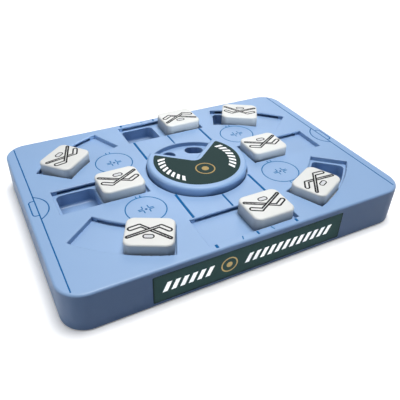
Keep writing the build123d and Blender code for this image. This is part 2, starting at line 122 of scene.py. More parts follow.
back = Vector(
    (
        math.sin(VIEW_TURN) * math.cos(VIEW_HEIGHT),
        -math.cos(VIEW_TURN) * math.cos(VIEW_HEIGHT),
        math.sin(VIEW_HEIGHT),
    )
)
level = Vector((0, 0, 1)).cross(back).normalized()
upright = back.cross(level)
right = math.cos(VIEW_ROLL) * level + math.sin(VIEW_ROLL) * upright
up = -math.sin(VIEW_ROLL) * level + math.cos(VIEW_ROLL) * upright

camera = bpy.data.objects.new("camera", bpy.data.cameras.new("camera"))
bpy.context.scene.collection.objects.link(camera)
turn = Matrix((right, up, back)).transposed().to_4x4()
camera.matrix_world = Matrix.Translation(VIEW_TARGET + back * VIEW_DISTANCE) @ turn
camera.data.lens = FOCAL_LENGTH
camera.data.sensor_width = SENSOR_WIDTH
camera.data.clip_start = NEAREST_SEEN
camera.data.clip_end = FARTHEST_SEEN
bpy.context.scene.camera = camera
print("camera stands at", [round(value, 3) for value in camera.matrix_world.translation])

# %% [markdown]
# ## The surround
#
# A white room behind the board would light it from all sides and wash out its shades. So the
# surround has two strengths: it is plain white where the camera looks at it, and weak and cool
# where it lights the board.

# %% The surround
SURROUND_LIGHT = 0.072
SURROUND_SEEN = 1.0

scene = bpy.context.scene
scene.view_settings.view_transform = "Standard"
world = bpy.data.worlds.new("pale_surround")
world.use_nodes = True
sky = world.node_tree
seen = add(sky, "ShaderNodeLightPath").outputs["Is Camera Ray"]
strength = add(
    sky,
    "ShaderNodeMapRange",
    inputs={"Value": seen, "To Min": SURROUND_LIGHT, "To Max": SURROUND_SEEN},
)
sky_tone = add(
    sky,
    "ShaderNodeMix",
    {"data_type": "RGBA"},
    {"Factor": seen, COLOUR_A: srgb("#BCD8FF"), COLOUR_B: srgb("#FFFFFF")},
)
sky.links.new(strength.outputs["Result"], sky.nodes["Background"].inputs["Strength"])
sky.links.new(sky_tone.outputs[MIXED_COLOUR], sky.nodes["Background"].inputs["Color"])
scene.world = world
print("surround lights with a strength of", SURROUND_LIGHT)

# %% [markdown]
# ## Lamps
#
# A moulded board with soft edges is read by its shading, so the light has a direction: a large
# soft lamp high above the board makes the tops bright and leaves the sides in shade, and a small
# one on the left lightens the sides that face it. The sheen panel is no lamp for a matt surface:
# it shows only as a reflection, which gives the middle of the deck a soft gloss.
#
# Two narrow beams work as lamps with a tube in front do. One is just smaller than the front label
# and picks it out of the shade. The other passes low over the front of the board and lightens the
# front sides of the far blocks. The camera sees neither beam's lamp.

# %% The lamps: places and sizes in metres, spreads in degrees
label_low, label_high = (Vector(corner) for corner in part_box("front_label"))
label_middle = (label_low + label_high) / 2


def area_light(name, place, aim, width, watts, height=None, spread=180, tint="#FFFFFF"):
    """A flat lamp that looks at a point: square and soft, or lower and with a narrow beam."""
    light = bpy.data.lights.new(name, "AREA")
    light.size = width
    light.energy = watts
    light.spread = math.radians(spread)
    light.color = srgb(tint)[:3]
    if height:
        light.shape = "RECTANGLE"
        light.size_y = height
    lamp = bpy.data.objects.new(name, light)
    scene.collection.objects.link(lamp)
    lamp.location = place
    lamp.rotation_euler = (Vector(aim) - Vector(place)).to_track_quat("-Z", "Y").to_euler()
    return lamp


area_light("overhead", place=(0.4, 0.12, 3.9), aim=(0, 0, 0), width=1.6, watts=158)
area_light("left_fill", place=(-1.3, 0.15, 0.6), aim=(0, 0, 0.02), width=0.6, watts=3.0)
sheen_panel = area_light(
    "sheen_panel", place=(0.96, 1.77, 1.49), aim=(0, 0, 0.04), width=1.2, watts=14
)
sheen_panel.visible_diffuse = False
label_beam = area_light(
    "label_beam",
    place=(label_middle.x, -0.3, label_middle.z),
    aim=(label_middle.x, 0, label_middle.z),
    width=0.2,
    watts=0.017,
    height=0.029,
    spread=1,
)
label_beam.visible_camera = False
block_beam = area_light(
    "block_beam",
    place=(0.46, -1.15, 0.235),
    aim=(0.047, 0.1, 0.047),
    width=0.32,
    watts=0.026,
    height=0.03,
    spread=4,
    tint="#E8F4FF",
)
block_beam.visible_camera = False
block_beam.visible_glossy = False
print(len(bpy.data.lights), "lamps")

# %% [markdown]
# ## Floor
#
# The board stands on white studio paper, which is wide enough that its edge is never seen. It
# looks white to the camera but gives back only a part of the light, and a cool part, or it would
# wash out the board's sides. The paper also glows, but only for the camera: weakly under the
# board, where that lifts the shadow a little, and fully from a metre away, where little of the
# lamps' light arrives.

# %% The paper's own colours
FIBRE = 3 * MM
PAPER_ROUGHNESS = 0.9

paper = bpy.data.materials.new("studio_paper")
paper.use_nodes = True
sheet = paper.node_tree
paper_shader = sheet.nodes["Principled BSDF"]
is_bounced = add(sheet, "ShaderNodeLightPath").outputs["Is Diffuse Ray"]
fibres = add(sheet, "ShaderNodeTexNoise", inputs={"Scale": 1 / FIBRE, "Detail": 2.0})
seen_tone = add(
    sheet,
    "ShaderNodeMix",
    {"data_type": "RGBA"},
    {"Factor": fibres.outputs["Fac"], COLOUR_A: srgb("#FAFAFA"), COLOUR_B: srgb("#F7F7F7")},
)
tone = add(
    sheet,
    "ShaderNodeMix",
    {"data_type": "RGBA"},
    {
        "Factor": is_bounced,
        COLOUR_A: seen_tone.outputs[MIXED_COLOUR],
        COLOUR_B: srgb("#4C5C76"),
    },
)
sheet.links.new(tone.outputs[MIXED_COLOUR], paper_shader.inputs["Base Color"])
paper_shader.inputs["Roughness"].default_value = PAPER_ROUGHNESS

# %% The paper's glow, by the distance from the board's middle
GLOW_NEAR, GLOW_FAR = 0.4, 1.0
GLOW_UNDER_BOARD, GLOW_AROUND = 0.2, 1.0

floor_place = add(sheet, "ShaderNodeTexCoord").outputs["Object"]
distance = add(sheet, "ShaderNodeVectorMath", {"operation": "LENGTH"}, {0: floor_place})
lift = add(
    sheet,
    "ShaderNodeMapRange",
    inputs={
        "Value": distance.outputs["Value"],
        "From Min": GLOW_NEAR,
        "From Max": GLOW_FAR,
        "To Min": GLOW_UNDER_BOARD,
        "To Max": GLOW_AROUND,
    },
)
is_seen = add(sheet, "ShaderNodeLightPath").outputs["Is Camera Ray"]
glow = add(
    sheet, "ShaderNodeMath", {"operation": "MULTIPLY"}, {0: is_seen, 1: lift.outputs["Result"]}
)
sheet.links.new(glow.outputs["Value"], paper_shader.inputs["Emission Strength"])
paper_shader.inputs["Emission Color"].default_value = srgb("#FFFFFF")
print("paper has", len(sheet.nodes), "nodes")

# %% The floor
FLOOR_SIZE = 12.0

half = FLOOR_SIZE / 2
floor_corners = [(-half, -half, 0), (half, -half, 0), (half, half, 0), (-half, half, 0)]
floor_mesh = bpy.data.meshes.new("floor")
floor_mesh.from_pydata(floor_corners, [], [(0, 1, 2, 3)])
floor = bpy.data.objects.new("floor", floor_mesh)
scene.collection.objects.link(floor)
floor.data.materials.append(paper)
print("floor is", FLOOR_SIZE, "m wide")

# %% [markdown]
# ## Moulded plastic
#
# Every big piece of the board is moulded plastic. A tool maker gives such a mould a fine matt
# grain, so light breaks up softly on it, and no moulding is one perfectly even colour. A flat
# colour would look like a drawing. So one function makes all the plastics, from two close colours
# that drift into each other like clouds, a range of roughness, the size and depth of the grain,
# and how much the surface shines.
#
# Light is also lost in the narrow places of a moulding. The lamps show most of that by
# themselves, but on the real board these places look darker still, so a plastic can have painted
# shade: a second, darker colour painted where that shade falls. On the board it lies in the inner
# corners, which an Ambient Occlusion node finds. On the wheel and the blocks, whose walls stand in
# narrow gaps, it fades out upwards from the floor of the tracks.

# %% Where light is lost, and shade is painted
CORNER_REACH = 14 * MM
DARK_CORNER, OPEN_FACE = 0.1, 0.9

track_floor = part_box("treat_pan_left")[1][2]


def openness(tree, place, shade_height):
    """0 where a moulding is shaded most and 1 where it is open, by its corners or by height."""
    if shade_height:
        light = add(tree, "ShaderNodeSeparateXYZ", inputs={"Vector": place}).outputs["Z"]
        darkest, lightest = track_floor, shade_height * MM
    else:
        corners = add(
            tree,
            "ShaderNodeAmbientOcclusion",
            {"samples": 8, "only_local": True},
            {"Distance": CORNER_REACH},
        )
        light = corners.outputs["AO"]
        darkest, lightest = DARK_CORNER, OPEN_FACE
    share = add(
        tree,
        "ShaderNodeMapRange",
        inputs={"Value": light, "From Min": darkest, "From Max": lightest},
    )
    return share.outputs["Result"]


print("tracks have their floor at", round(track_floor / MM, 2), "mm")

# %% The plastics' one function
CLOUD = 45 * MM
GRAIN_STRENGTH = 0.6
USUAL_SHINE = 0.5


def moulded_plastic(
    name, colours, roughness, ior, grain, depth, shine=USUAL_SHINE, painted_shade=None, shade_height=None
):
    """A moulded plastic with a mould's matt grain and slight unevenness of colour and gloss.

    The darker colour, if given, is painted shade in the plastic's own tight corners, where light
    is lost, or with `shade_height`, in millimetres, towards the track floor below that height.
    """
    material = bpy.data.materials.new(name)
    material.use_nodes = True
    tree = material.node_tree
    shader = tree.nodes["Principled BSDF"]
    shader.inputs["IOR"].default_value = ior
    shader.inputs["Specular IOR Level"].default_value = shine
    place = add(tree, "ShaderNodeTexCoord").outputs["Object"]
    clouds = add(
        tree, "ShaderNodeTexNoise", inputs={"Vector": place, "Scale": 1 / CLOUD, "Detail": 3.0}
    )
    tone = add(
        tree,
        "ShaderNodeMix",
        {"data_type": "RGBA"},
        {
            "Factor": clouds.outputs["Fac"],
            COLOUR_A: srgb(colours[0]),
            COLOUR_B: srgb(colours[1]),
        },
    )
    # painted shade: the darker colour is mixed in where the moulding is least open
    if painted_shade:
        tone = add(
            tree,
            "ShaderNodeMix",
            {"data_type": "RGBA"},
            {
                "Factor": openness(tree, place, shade_height),
                COLOUR_A: srgb(painted_shade),
                COLOUR_B: tone.outputs[MIXED_COLOUR],
            },
        )
    grains = add(
        tree, "ShaderNodeTexNoise", inputs={"Vector": place, "Scale": 1 / grain, "Detail": 2.0}
    )
    gloss = add(
        tree,
        "ShaderNodeMapRange",
        inputs={"Value": grains.outputs["Fac"], "To Min": roughness[0], "To Max": roughness[1]},
    )
    relief = add(
        tree,
        "ShaderNodeBump",
        inputs={"Height": grains.outputs["Fac"], "Strength": GRAIN_STRENGTH, "Distance": depth},
    )
    tree.links.new(tone.outputs[MIXED_COLOUR], shader.inputs["Base Color"])
    tree.links.new(gloss.outputs["Result"], shader.inputs["Roughness"])
    tree.links.new(relief.outputs["Normal"], shader.inputs["Normal"])
    return material


# %% The board's plastics and its rubber
BOARD_BLUE = ("#91B0D6", "#8AAAD2")
ABS_IOR = 1.53
ABS_GRAIN = 0.7 * MM
SATIN = (0.38, 0.5)

# ABS with a satin grain: soft, wide highlights, hardly any reflection of the room
# painted shade: the dark blue is painted into the board's own inner corners
ice_blue_abs = moulded_plastic(
    "ice_blue_abs", BOARD_BLUE, SATIN, ABS_IOR, ABS_GRAIN, depth=0.02 * MM, painted_shade="#2A4F80"
)
# the same plastic for the wheel, with painted shade that darkens its wall down into its well
wheel_blue_abs = moulded_plastic(
    "wheel_blue_abs",
    BOARD_BLUE,
    SATIN,
    ABS_IOR,
    ABS_GRAIN,
    depth=0.02 * MM,
    painted_shade="#274A78",
    shade_height=48.5,
)
# acetal for the runners: a waxy white that looks greyer than the blocks' caps
natural_acetal = moulded_plastic(
    "natural_acetal",
    colours=("#E4E4DF", "#DCDCD6"),
    roughness=(0.42, 0.55),
    ior=1.48,
    grain=0.5 * MM,
    depth=0.02 * MM,
)
# rubber swallows light and has a dry surface, so its feet look nearly black and dull
black_rubber = moulded_plastic(
    "black_rubber",
    colours=("#2A2A2B", "#232324"),
    roughness=(0.7, 0.85),
    ior=1.5,
    grain=0.4 * MM,
    depth=0.03 * MM,
)
print("board blue has", len(ice_blue_abs.node_tree.nodes), "nodes")

# %% [markdown]
# ## Zinc-plated steel
#
# The screws and the wheel's washer are steel with a thin bright zinc plating. It is a metal, so
# its colour is the colour of its reflections. A plain grey metal would look like chrome, but the
# plating's crystals each catch the light a little differently. So cells of a Voronoi texture, each
# as large as a crystal, vary the tone and the gloss.

# %% Zinc-plated steel
CRYSTAL = 0.6 * MM
PLATING_ROUGHNESS = (0.26, 0.38)

zinc_steel = bpy.data.materials.new("zinc_plated_steel")
zinc_steel.use_nodes = True
plating = zinc_steel.node_tree
metal = plating.nodes["Principled BSDF"]
metal.inputs["Metallic"].default_value = 1.0
metal_place = add(plating, "ShaderNodeTexCoord").outputs["Object"]
crystals = add(
    plating, "ShaderNodeTexVoronoi", inputs={"Vector": metal_place, "Scale": 1 / CRYSTAL}
)
crystal_tone = add(
    plating,
    "ShaderNodeMix",
    {"data_type": "RGBA"},
    {"Factor": crystals.outputs["Color"], COLOUR_A: srgb("#C6C9CC"), COLOUR_B: srgb("#B4B8BE")},
)
crystal_gloss = add(
    plating,
    "ShaderNodeMapRange",
    inputs={
        "Value": crystals.outputs["Color"],
        "To Min": PLATING_ROUGHNESS[0],
        "To Max": PLATING_ROUGHNESS[1],
    },
)
plating.links.new(crystal_tone.outputs[MIXED_COLOUR], metal.inputs["Base Color"])
plating.links.new(crystal_gloss.outputs["Result"], metal.inputs["Roughness"])
print("zinc crystals are", round(CRYSTAL / MM, 1), "mm wide")

# %% [markdown]
# ## Drawing with distances
#
# A print on a moulding has no thickness to speak of: it is only another colour. On the blocks and
# the labels it is drawn in the material. A picture file would do it too, but it turns to squares
# when the camera comes near. Distances don't: a stroke is every spot that is nearer to a line than
# half the stroke's width. All of them are in millimetres.
#
# `face_spot` gives each spot's place on the printed face, `stroke` its distance from one line, and
# `outline_distance` its distance from the edge of a shape that is made of strokes, negative inside.
# `band` makes a mask, which is 1 where a distance lies between two values and 0 elsewhere.
# `where_all` and `where_any` put masks together, and `lay_ink` inks where a mask is 1.

# %% Places and distances on a printed face
DEPTH_STRETCH = 20
# the longest reach along a stroke that is a single point
POINT_RUN = 1e-6


def face_spot(tree, origin, turn):
    """Millimetres on a printed face: X and Y on it, and a stretched Z that ends the print below."""
    place = add(tree, "ShaderNodeTexCoord").outputs["Object"]
    on_face = add(
        tree,
        "ShaderNodeMapping",
        {"vector_type": "TEXTURE"},
        {
            "Vector": place,
            "Location": origin,
            "Rotation": turn,
            "Scale": (MM, MM, MM / DEPTH_STRETCH),
        },
    )
    return on_face.outputs["Vector"]


def stroke(tree, spot, start, end):
    """Distance from each spot to the straight line between two points, or to a single point."""
    run = Vector((*end, 0)) - Vector((*start, 0))
    along = run.normalized() if run.length else Vector((1, 0, 0))
    offset = add(tree, "ShaderNodeVectorMath", {"operation": "SUBTRACT"}, {0: spot, 1: (*start, 0)})
    share = add(
        tree,
        "ShaderNodeVectorMath",
        {"operation": "DOT_PRODUCT"},
        {0: offset.outputs["Vector"], 1: along},
    )
    held = add(
        tree,
        "ShaderNodeClamp",
        inputs={"Value": share.outputs["Value"], "Max": max(run.length, POINT_RUN)},
    )
    foot = add(
        tree,
        "ShaderNodeVectorMath",
        {"operation": "SCALE"},
        {0: along, "Scale": held.outputs["Result"]},
    )
    return add(
        tree,
        "ShaderNodeVectorMath",
        {"operation": "DISTANCE"},
        {0: offset.outputs["Vector"], 1: foot.outputs["Vector"]},
    ).outputs["Value"]


def outline_distance(tree, spot, strokes):
    """Distance from a shape's edge. Each stroke is its two ends and half its width."""
    edges = []
    for start, end, half_width in strokes:
        reach = stroke(tree, spot, start, end)
        edge = add(tree, "ShaderNodeMath", {"operation": "SUBTRACT"}, {0: reach, 1: half_width})
        edges.append(edge.outputs["Value"])
    nearest = edges[0]
    for edge in edges[1:]:
        nearer = add(tree, "ShaderNodeMath", {"operation": "MINIMUM"}, {0: nearest, 1: edge})
        nearest = nearer.outputs["Value"]
    return nearest


print("a millimetre below a printed face counts as", DEPTH_STRETCH, "mm")

# %% Masks and ink
FAR_INSIDE, FAR_OUTSIDE = -1000, 1000
MATT_ROUGHNESS = 0.85


def where_all(tree, masks):
    """1 where every mask is 1, else 0."""
    shared = masks[0]
    for mask in masks[1:]:
        both = add(tree, "ShaderNodeMath", {"operation": "MULTIPLY"}, {0: shared, 1: mask})
        shared = both.outputs["Value"]
    return shared


def where_any(tree, masks):
    """1 where at least one mask is 1, else 0."""
    covered = masks[0]
    for mask in masks[1:]:
        either = add(tree, "ShaderNodeMath", {"operation": "MAXIMUM"}, {0: covered, 1: mask})
        covered = either.outputs["Value"]
    return covered


def band(tree, distance, low, high):
    """1 where a distance lies between two values, else 0."""
    inside = add(tree, "ShaderNodeMath", {"operation": "LESS_THAN"}, {0: distance, 1: high})
    beyond = add(tree, "ShaderNodeMath", {"operation": "GREATER_THAN"}, {0: distance, 1: low})
    return where_all(tree, [inside.outputs["Value"], beyond.outputs["Value"]])


def dashes(tree, position, pitch, share):
    """1 on the first share of each step along a position, else 0."""
    steps = add(tree, "ShaderNodeMath", {"operation": "DIVIDE"}, {0: position, 1: pitch})
    part = add(tree, "ShaderNodeMath", {"operation": "FRACT"}, {0: steps.outputs["Value"]})
    return band(tree, part.outputs["Value"], FAR_INSIDE, share)


def lay_ink(material, mask, hex_code):
    """Lays one matt ink over what a material shows so far, where the mask is 1."""
    tree = material.node_tree
    colour = tree.nodes["Principled BSDF"].inputs["Base Color"]
    rough = tree.nodes["Principled BSDF"].inputs["Roughness"]
    matt = add(
        tree,
        "ShaderNodeMix",
        {"data_type": "FLOAT"},
        {"Factor": mask, NUMBER_A: rough.links[0].from_socket, NUMBER_B: MATT_ROUGHNESS},
    )
    inked = add(
        tree,
        "ShaderNodeMix",
        {"data_type": "RGBA"},
        {"Factor": mask, COLOUR_A: colour.links[0].from_socket, COLOUR_B: srgb(hex_code)},
    )
    tree.links.new(matt.outputs[MIXED_NUMBER], rough)
    tree.links.new(inked.outputs[MIXED_COLOUR], colour)


print("matt ink has a roughness of", MATT_ROUGHNESS)

# %% [markdown]
# ## The blocks' print
#
# Each block shows two crossed sticks and a puck. A stick is two strokes, the thin shaft and the
# wide blade, joined at the heel, and its line runs round both. The front stick hides the back one
# where they cross. The taped handles are hatched, and the puck is shaded lightly. The drawing is
# made once, as a node group that takes a spot on the block's top, and each block has its own place
# and turn.

# %% The sticks and the puck, in millimetres from the middle of a block's top
STICK_LINE = 1.7
PUCK_LINE = 1.2
HALF_SHAFT = 1.2
HALF_BLADE = 2.1
HALF_PUCK = 2.4
HANDLE_END = (18.6, 8.9)
TAPE_END = (9.5, 3.56)
SHAFT_HEEL = (-9.0, -6.9)
BLADE_HEEL = (-9.6, -6.4)
BLADE_TIP = (-17.1, -2.0)
PUCK_LEFT = (-1.8, 7.3)
PUCK_RIGHT = (2.8, 7.3)


def on_side(point, side):
    """A point of the front stick, or where the side is -1, its mirror image on the back stick."""
    return (side * point[0], point[1])


def stick(tree, spot, side):
    """Distance from a stick's outline, which runs round its shaft and its blade."""
    shaft = (on_side(HANDLE_END, side), on_side(SHAFT_HEEL, side), HALF_SHAFT)
    blade = (on_side(BLADE_HEEL, side), on_side(BLADE_TIP, side), HALF_BLADE)
    return outline_distance(tree, spot, [shaft, blade])


print("drawing is", 2 * HANDLE_END[0], "mm wide between the handles' ends")

# %% One drawing for eight blocks
drawing = bpy.data.node_groups.new("sticks_and_puck", "ShaderNodeTree")
drawing.interface.new_socket("Spot", in_out="INPUT", socket_type="NodeSocketVector")
for mask_name in ("Lines", "Tape", "Puck"):
    drawing.interface.new_socket(mask_name, in_out="OUTPUT", socket_type="NodeSocketFloat")
top_spot = add(drawing, "NodeGroupInput").outputs["Spot"]

front_stick = stick(drawing, top_spot, 1)
back_stick = stick(drawing, top_spot, -1)
front_line = band(drawing, front_stick, -STICK_LINE / 2, STICK_LINE / 2)
beside_front = band(drawing, front_stick, STICK_LINE / 2, FAR_OUTSIDE)
back_line = band(drawing, back_stick, -STICK_LINE / 2, STICK_LINE / 2)
back_line_seen = where_all(drawing, [back_line, beside_front])
puck = outline_distance(drawing, top_spot, [(PUCK_LEFT, PUCK_RIGHT, HALF_PUCK)])
puck_line = band(drawing, puck, -PUCK_LINE / 2, PUCK_LINE / 2)
puck_face = band(drawing, puck, FAR_INSIDE, 0)
all_lines = where_any(drawing, [front_line, back_line_seen, puck_line])
print("outlines take", len(drawing.nodes), "nodes")

# %% The tape's hatch, and the finished group
HATCH = 1.3
HATCH_SHARE = 0.5

top_parts = add(drawing, "ShaderNodeSeparateXYZ", inputs={"Vector": top_spot}).outputs
slant = add(drawing, "ShaderNodeMath", {"operation": "ADD"}, {0: top_parts["X"], 1: top_parts["Y"]})
hatch = dashes(drawing, slant.outputs["Value"], HATCH, HATCH_SHARE)
handles = outline_distance(
    drawing,
    top_spot,
    [(on_side(TAPE_END, side), on_side(HANDLE_END, side), HALF_SHAFT) for side in (1, -1)],
)
taped = where_all(drawing, [band(drawing, handles, FAR_INSIDE, 0), hatch])
add(drawing, "NodeGroupOutput", inputs={"Lines": all_lines, "Tape": taped, "Puck": puck_face})
print("drawing of", len(drawing.nodes), "nodes")

# %% [markdown]
# ## White blocks
#
# The block caps are white ABS, smoother than the board, because the print needs an even face.
# The drawing has to lie on each block just where the CAD put it. Its places could be typed in,
# but read from the blocks' own boxes they stay true when a block moves. The straight tracks'
# blocks stand square. A corner block rides on an arc about a point across the board and turns with
# it, so its turn follows from where it stands. Three blocks were put in the other way round, so
# their drawing is turned by half a turn more.

# %% Where each block stands
STRAIGHT_BLOCKS = ("left", "right", "front", "back")
CORNER_BLOCKS = ("back_left", "front_left", "front_right", "back_right")
OTHER_WAY_ROUND = ("back", "front_left", "front_right")
# the centre of the back right corner's arc; the other three are its mirror images
ARC_CENTRE = Vector((16.3, -59.5)) * MM


def block_stand(name):
    """The middle of a block's top in metres, and the turn of its drawing in radians."""
    low, high = (Vector(corner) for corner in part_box("block_cap_" + name))
    middle = (low + high) / 2
    turn = 0.0
    if name in CORNER_BLOCKS:
        arc_angle = math.atan2(abs(middle.y) - ARC_CENTRE.y, abs(middle.x) - ARC_CENTRE.x)
        turn = math.copysign(math.pi / 2 - arc_angle, -middle.x * middle.y)
    if name in OTHER_WAY_ROUND:
        turn += math.pi
    return (middle.x, middle.y, high.z), turn


for name in STRAIGHT_BLOCKS + CORNER_BLOCKS:
    (x, y, _), turn = block_stand(name)
    place = (round(x / MM, 1), round(y / MM, 1))
    print(name, "block stands at", place, "mm, drawing turned by", round(math.degrees(turn), 2))

# %% White plastic with the drawing on it
PUCK_GREY = "#D2D3D4"
TAPE_GREY = "#55565A"
LINE_BLACK = "#0E0E10"


def printed_block(name):
    """White ABS whose top carries the drawing: shiny enough to show the light's edge."""
    top_middle, turn = block_stand(name)
    plastic = moulded_plastic(
        "white_abs_" + name,
        colours=("#E2E2DE", "#DDDDD9"),
        roughness=(0.34, 0.46),
        ior=ABS_IOR,
        grain=ABS_GRAIN,
        depth=0.012 * MM,
        # painted shade: the sides darken towards the track floor, below the shade height
        painted_shade="#66727F",
        shade_height=49.0,
    )
    tree = plastic.node_tree
    spot = face_spot(tree, top_middle, (0, 0, turn))
    masks = add(tree, "ShaderNodeGroup", {"node_tree": drawing}, {"Spot": spot}).outputs
    lay_ink(plastic, masks["Puck"], PUCK_GREY)
    lay_ink(plastic, masks["Tape"], TAPE_GREY)
    lay_ink(plastic, masks["Lines"], LINE_BLACK)
    return plastic


block_plastics = {name: printed_block(name) for name in STRAIGHT_BLOCKS + CORNER_BLOCKS}
print(len(block_plastics), "printed block plastics")

# %% [markdown]
# ## Labels
#
# Two labels of dark green-grey vinyl film are stuck on: a long one on the front side and a round
# one on the wheel. Each carries a plain pattern of slanted bars in white, and in gold a ring with
# a dot, like a face-off spot. The bars are dashes along the label, cut off above and below. On the
# round label they are dashes of angle, cut off by their distance from the middle. The film is
# smoother than the moulding, and its grain is finer.

# %% The film, its inks and the parts of its pattern
FILM_GREEN = ("#263C3B", "#223736")
WHITE_INK = "#FFFFFF"
GOLD_INK = "#B39A66"
BAR_SHARE = 0.56
RING_WIDTH = 1.3
DOT_SHARE = 0.36


def vinyl_film(name):
    """Printed vinyl film: satin, with hardly any grain, so its dark colour stays even."""
    return moulded_plastic(
        name,
        colours=FILM_GREEN,
        roughness=(0.5, 0.58),
        ior=1.45,
        grain=0.3 * MM,
        depth=0.004 * MM,
        shine=0.1,
    )


def bars(tree, position, pitch, runs):
    """1 on bars along a position, else 0. Each run of bars is given by its first and last step."""
    spans = [band(tree, position, first * pitch, last * pitch) for first, last in runs]
    return where_all(tree, [dashes(tree, position, pitch, BAR_SHARE), where_any(tree, spans)])


def ring_and_dot(tree, spot, centre, radius):
    """A ring with a dot, like a face-off spot."""
    reach = stroke(tree, spot, centre, centre)
    ring = band(tree, reach, radius - RING_WIDTH, radius)
    dot = band(tree, reach, FAR_INSIDE, radius * DOT_SHARE)
    return where_any(tree, [ring, dot])


# %% The front label
BAR_PITCH = 8.2
BAR_LEAN = -0.45
HALF_BAR_HEIGHT = 5.2
BAR_RUNS = [(-11, -5), (-1, 11)]
FRONT_RING = (-27.0, 0)
FRONT_RING_RADIUS = 8.5

front_film = vinyl_film("front_label_film")
tree = front_film.node_tree
front_middle = (label_middle.x, label_low.y, label_middle.z)
spot = face_spot(tree, front_middle, (math.radians(90), 0, 0))
label_parts = add(tree, "ShaderNodeSeparateXYZ", inputs={"Vector": spot}).outputs
leaning = add(
    tree,
    "ShaderNodeMath",
    {"operation": "MULTIPLY_ADD"},
    {0: label_parts["Y"], 1: BAR_LEAN, 2: label_parts["X"]},
)
front_bars = bars(tree, leaning.outputs["Value"], BAR_PITCH, BAR_RUNS)
rows = band(tree, label_parts["Y"], -HALF_BAR_HEIGHT, HALF_BAR_HEIGHT)
lay_ink(front_film, where_all(tree, [front_bars, rows]), WHITE_INK)
lay_ink(front_film, ring_and_dot(tree, spot, FRONT_RING, FRONT_RING_RADIUS), GOLD_INK)
print("front label's film has", len(tree.nodes), "nodes")

# %% The wheel's label
BAR_STEP = math.radians(9.5)
SWEEP_PER_MM = 0.012
INNER_END, OUTER_END = 34.5, 42.0
WHEEL_BAR_RUNS = [(-2, 6)]
WHEEL_RING = (0, -19.0)
WHEEL_RING_RADIUS = 10.5

wheel_film = vinyl_film("wheel_label_film")
tree = wheel_film.node_tree
disc_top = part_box("wheel_label")[1][2]
spot = face_spot(tree, (0, 0, disc_top), (0, 0, 0))
disc_parts = add(tree, "ShaderNodeSeparateXYZ", inputs={"Vector": spot}).outputs
reach = stroke(tree, spot, (0, 0), (0, 0))
aside = add(tree, "ShaderNodeMath", {"operation": "ABSOLUTE"}, {0: disc_parts["X"]})
round_angle = add(
    tree,
    "ShaderNodeMath",
    {"operation": "ARCTAN2"},
    {0: disc_parts["Y"], 1: aside.outputs["Value"]},
)
swept = add(
    tree,
    "ShaderNodeMath",
    {"operation": "MULTIPLY_ADD"},
    {0: reach, 1: SWEEP_PER_MM, 2: round_angle.outputs["Value"]},
)
wheel_bars = bars(tree, swept.outputs["Value"], BAR_STEP, WHEEL_BAR_RUNS)
rim = band(tree, reach, INNER_END, OUTER_END)
lay_ink(wheel_film, where_all(tree, [wheel_bars, rim]), WHITE_INK)
lay_ink(wheel_film, ring_and_dot(tree, spot, WHEEL_RING, WHEEL_RING_RADIUS), GOLD_INK)
print("wheel label's film has", len(tree.nodes), "nodes")

# %% [markdown]
# ## Finishes on the CAD nodes
#
# The record of the part says which finish each piece has. The block caps, the labels and the wheel
# have finishes of their own: the first two carry a print, and the wheel has its own painted shade.

# %% Finishes on the nodes
finishes = {
    "blue_plastic": ice_blue_abs,
    "runner_plastic": natural_acetal,
    "rubber": black_rubber,
    "steel": zinc_steel,
}
own_finishes = {
    "front_label": front_film,
    "wheel_label": wheel_film,
    "wheel_disc": wheel_blue_abs,
}
own_finishes.update({"block_cap_" + name: plastic for name, plastic in block_plastics.items()})

for subpart in frame["record"]["subparts"]:
    node = frame["nodes"][subpart["node"]]
    finish = own_finishes.get(subpart["node"]) or finishes[subpart["material_slot"]]
    node.data.materials.clear()
    node.data.materials.append(finish)
print(len(finishes) + len(own_finishes), "finishes on", len(frame["nodes"]), "CAD nodes")

# %% [markdown]
# ## Growing pieces with Geometry Nodes
#
# Two things on the board repeat or follow a path: the printed lines and the screws. Each gets one
# tree of Geometry Nodes, which takes its sizes as named inputs. `grow` puts a tree on a start
# mesh, sets the inputs, and keeps only the plain mesh that comes out, because the exported model
# knows nothing of modifiers.

# %% Trees, their inputs, and plain meshes


def new_tree(name, sockets):
    """An empty Geometry Nodes tree with named inputs, and one geometry as its output."""
    tree = bpy.data.node_groups.new(name, "GeometryNodeTree")
    for socket, kind in sockets.items():
        tree.interface.new_socket(socket, in_out="INPUT", socket_type="NodeSocket" + kind)
    tree.interface.new_socket("Result", in_out="OUTPUT", socket_type="NodeSocketGeometry")
    return tree, add(tree, "NodeGroupInput").outputs


def finish_tree(tree, geometry, material):
    """Ends a tree: instances made real, and the finish set."""
    real = add(tree, "GeometryNodeRealizeInstances", inputs={"Geometry": geometry})
    coated = add(
        tree,
        "GeometryNodeSetMaterial",
        inputs={"Geometry": real.outputs["Geometry"], "Material": material},
    )
    add(tree, "NodeGroupOutput", inputs={"Result": coated.outputs["Geometry"]})
    print(tree.name, "tree has", len(tree.nodes), "nodes")


def grow(name, start, tree, values):
    """Runs a tree on a start mesh and returns a plain piece at the origin."""
    source = bpy.data.objects.new(name + "_start", start)
    scene.collection.objects.link(source)
    modifier = source.modifiers.new(name, "NODES")
    modifier.node_group = tree
    for item in tree.interface.items_tree:
        if item.in_out == "INPUT" and item.name in values:
            modifier[item.identifier] = values[item.name]
    grown = source.evaluated_get(bpy.context.evaluated_depsgraph_get())
    mesh = bpy.data.meshes.new_from_object(grown)
    mesh.name = name
    source.modifiers.remove(modifier)
    bpy.data.objects.remove(source)
    piece = bpy.data.objects.new(name, mesh)
    scene.collection.objects.link(piece)
    print(name, "has", len(mesh.polygons), "faces")
    return piece


# %% [markdown]
# ## The rink's printed lines
#
# The lines are ink on the deck. A real print is about 0.02 mm thick, so each line is a ribbon that
# stands that much proud of the deck and reaches as much into it. The start mesh is the line's
# middle, as a chain of edges; the tree turns it to a curve and sweeps a flat profile along it.

